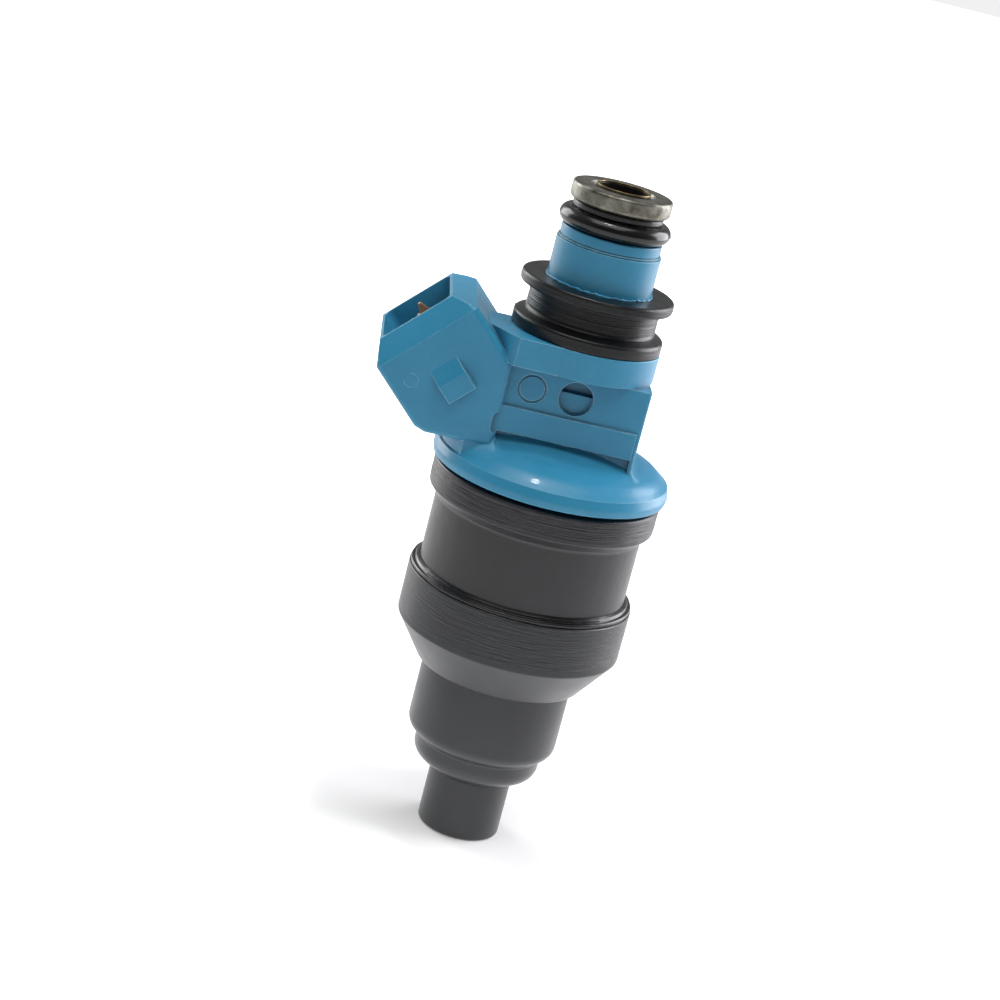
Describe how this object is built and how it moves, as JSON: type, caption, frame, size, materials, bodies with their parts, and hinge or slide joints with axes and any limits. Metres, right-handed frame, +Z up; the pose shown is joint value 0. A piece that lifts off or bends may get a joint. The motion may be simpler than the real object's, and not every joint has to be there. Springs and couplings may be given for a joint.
{
  "type": "fuel injector",
  "caption": "Top-feed solenoid fuel injector with a steel inlet, blue moulded body, angled plug socket, rubber spool, black magnet housing and stepped nozzle.",
  "frame": {"origin": "centre of the nozzle tip's end face, on the injector's axis", "axes": "+Z up the injector's axis to the fuel inlet, -X towards the side the plug socket leans to, +Y square to both"},
  "size_m": [0.0334, 0.0254, 0.0725],
  "materials": {
    "inlet_steel": "satin, lightly worn",
    "filter_metal": "satin",
    "filter_plastic": "matte",
    "filter_gauze": "woven",
    "black_plastic": "semi-gloss",
    "seal_rubber": "glossy",
    "blue_plastic": "semi-gloss moulded",
    "terminal_copper": "satin",
    "grommet_rubber": "satin with fine rings",
    "housing_black": "satin black over turned steel",
    "bobbin_plastic": "matte",
    "winding_copper": "enamelled wire",
    "inner_steel": "machined",
    "spring_steel": "bright wire",
    "polished_steel": "ground",
    "bead_lacquer": "gloss",
    "lower_black": "satin black, turned band",
    "cap_black": "satin"
  },
  "bodies": {
    "injector": {"inlet_core": "inlet_steel", "filter_rim": "filter_metal", "filter_cage": "filter_plastic", "filter_mesh": "filter_gauze", "backup_ring": "black_plastic", "upper_o_ring": "seal_rubber", "connector_body": "blue_plastic", "terminal_front": "terminal_copper", "terminal_back": "terminal_copper", "grommet": "grommet_rubber", "housing_shell": "housing_black", "coil_bobbin": "bobbin_plastic", "coil_winding": "winding_copper", "bobbin_upper_ring": "seal_rubber", "bobbin_lower_ring": "seal_rubber", "adjusting_tube": "inner_steel", "return_spring": "spring_steel", "stop_plate": "inner_steel", "lift_spacer": "inner_steel", "valve_body": "polished_steel", "valve_body_ring": "seal_rubber", "sealing_bead": "bead_lacquer", "lower_body": "lower_black", "nozzle_cap": "cap_black"},
    "plunger": {"armature": "inner_steel", "needle_valve": "polished_steel"}
  },
  "joints": [
    {"name": "needle_lift", "type": "slide", "parent": "injector", "child": "plunger", "axis": [0, 0, 1], "range_m": [0, 0.0001], "stiffness_N_per_m": 1560, "springref_m": -0.0032, "deforming": ["return_spring"]}
  ]
}
